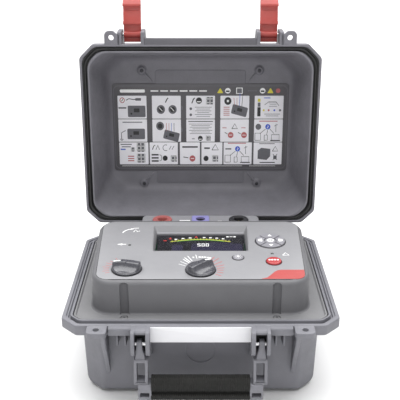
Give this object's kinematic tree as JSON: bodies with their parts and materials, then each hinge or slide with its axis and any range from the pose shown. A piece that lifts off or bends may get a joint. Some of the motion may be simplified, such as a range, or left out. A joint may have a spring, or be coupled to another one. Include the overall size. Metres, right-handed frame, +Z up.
{
  "type": "insulation resistance tester",
  "caption": "Hard-case high-voltage insulation resistance tester: hinged lid with latches, sloping panel with display, rotary knobs, keys and terminals, and a front carry handle.",
  "frame": {"origin": "on the standing plane, under the middle of the base flange", "axes": "+X to the right of the face, +Y to the back (hinge side), +Z up"},
  "size_m": [0.315, 0.3517, 0.4253],
  "materials": {
    "case_grey": "fine-textured moulded polypropylene",
    "panel_grey": "fine-textured moulding",
    "overlay_grey": "satin printed inlay",
    "flash_red": "satin printed inlay",
    "latch_red": "semi-gloss moulding",
    "terminal_red": "semi-gloss moulding",
    "terminal_blue": "semi-gloss moulding",
    "terminal_black": "semi-gloss moulding",
    "knob_dark": "satin moulding",
    "button_red": "soft touch",
    "key_grey": "soft touch",
    "print_white": "printed film",
    "label_dark": "printed film",
    "seal_black": "smooth rubber",
    "grip_black": "ribbed soft grip",
    "foot_rubber": "moulded rubber",
    "steel": "bright",
    "brass": "plain",
    "window": "clear and polished",
    "display": "dark screen",
    "lamp": "tinted lens",
    "board": "solder-masked board",
    "component": "moulded component",
    "copper": "bare copper",
    "winding": "varnished winding",
    "battery_blue": "shrink-wrapped cells"
  },
  "bodies": {
    "base": {"case_base": "case_grey", "rubber_feet": "foot_rubber", "handle_pins": "steel", "hinge_pins": "steel", "name_label": "print_white", "panel_seal": "seal_black", "panel_moulding": "panel_grey", "face_overlay": "overlay_grey", "corner_flash": "flash_red", "panel_screws": "steel", "display_window": "window", "display_module": "display", "status_lamps": "lamp", "terminal_red": "terminal_red", "terminal_blue": "terminal_blue", "terminal_black": "terminal_black", "terminal_contacts": "brass", "contact_leads": "copper", "main_board": "board", "board_spacers": "brass", "rotary_switches": "component", "key_switches": "component", "key_mat": "key_grey", "sounder": "component", "inner_tray": "panel_grey", "tray_screws": "steel", "power_board": "board", "transformer": "winding", "capacitors": "component", "high_voltage_module": "component", "battery_pack": "battery_blue", "battery_strap": "steel"},
    "lid": {"lid_shell": "case_grey", "lid_seal": "seal_black", "lid_label_plate": "label_dark", "lid_label_cards": "print_white", "lid_screws": "component", "latch_pins": "steel"},
    "latch_left": {"latch_left": "latch_red"},
    "latch_right": {"latch_right": "latch_red"},
    "handle": {"handle_frame": "case_grey", "handle_grip": "grip_black"},
    "knob_left": {"knob_left_body": "knob_dark", "knob_left_pointer": "print_white", "knob_left_shaft": "steel"},
    "knob_centre": {"knob_centre_body": "knob_dark", "knob_centre_pointer": "print_white", "knob_centre_shaft": "steel"},
    "test_button": {"test_button": "button_red"},
    "light_button": {"light_button": "key_grey"},
    "key_up": {"key_up": "key_grey"},
    "key_down": {"key_down": "key_grey"},
    "key_left": {"key_left": "key_grey"},
    "key_right": {"key_right": "key_grey"},
    "key_ok": {"key_ok": "key_grey"}
  },
  "joints": [
    {"name": "lid_hinge", "type": "hinge", "parent": "base", "child": "lid", "pos_m": [0, 0.13, 0.1185], "axis": [1, 0, 0], "range_deg": [0, 92.6]},
    {"name": "latch_left_hinge", "type": "hinge", "parent": "lid", "child": "latch_left", "pos_m": [-0.0886, 0.15142, 0.3808], "axis": [1, 0, 0], "range_deg": [0, 90]},
    {"name": "latch_right_hinge", "type": "hinge", "parent": "lid", "child": "latch_right", "pos_m": [0.0886, 0.15142, 0.3808], "axis": [1, 0, 0], "range_deg": [0, 90]},
    {"name": "handle_hinge", "type": "hinge", "parent": "base", "child": "handle", "pos_m": [0, -0.129, 0.088], "axis": [-1, 0, 0], "range_deg": [0, 100]},
    {"name": "knob_left_turn", "type": "hinge", "parent": "base", "child": "knob_left", "pos_m": [-0.0855, -0.06553, 0.14824], "axis": [0, -0.0436, 0.999], "range_deg": [-92, 63]},
    {"name": "knob_centre_turn", "type": "hinge", "parent": "base", "child": "knob_centre", "pos_m": [0, -0.06753, 0.14816], "axis": [0, -0.0436, 0.999], "range_deg": [-67, 103]},
    {"name": "test_button_press", "type": "slide", "parent": "base", "child": "test_button", "axis": [0, 0.0436, -0.999], "range_m": [0, 0.001], "stiffness_N_per_m": 400, "springref_m": -0.002},
    {"name": "light_button_press", "type": "slide", "parent": "base", "child": "light_button", "axis": [0, 0.0436, -0.999], "range_m": [0, 0.0008], "stiffness_N_per_m": 400, "springref_m": -0.002},
    {"name": "key_up_press", "type": "slide", "parent": "base", "child": "key_up", "axis": [0, 0.0436, -0.999], "range_m": [0, 0.0008], "stiffness_N_per_m": 400, "springref_m": -0.002},
    {"name": "key_down_press", "type": "slide", "parent": "base", "child": "key_down", "axis": [0, 0.0436, -0.999], "range_m": [0, 0.0008], "stiffness_N_per_m": 400, "springref_m": -0.002},
    {"name": "key_left_press", "type": "slide", "parent": "base", "child": "key_left", "axis": [0, 0.0436, -0.999], "range_m": [0, 0.0008], "stiffness_N_per_m": 400, "springref_m": -0.002},
    {"name": "key_right_press", "type": "slide", "parent": "base", "child": "key_right", "axis": [0, 0.0436, -0.999], "range_m": [0, 0.0008], "stiffness_N_per_m": 400, "springref_m": -0.002},
    {"name": "key_ok_press", "type": "slide", "parent": "base", "child": "key_ok", "axis": [0, 0.0436, -0.999], "range_m": [0, 0.0008], "stiffness_N_per_m": 400, "springref_m": -0.002}
  ]
}
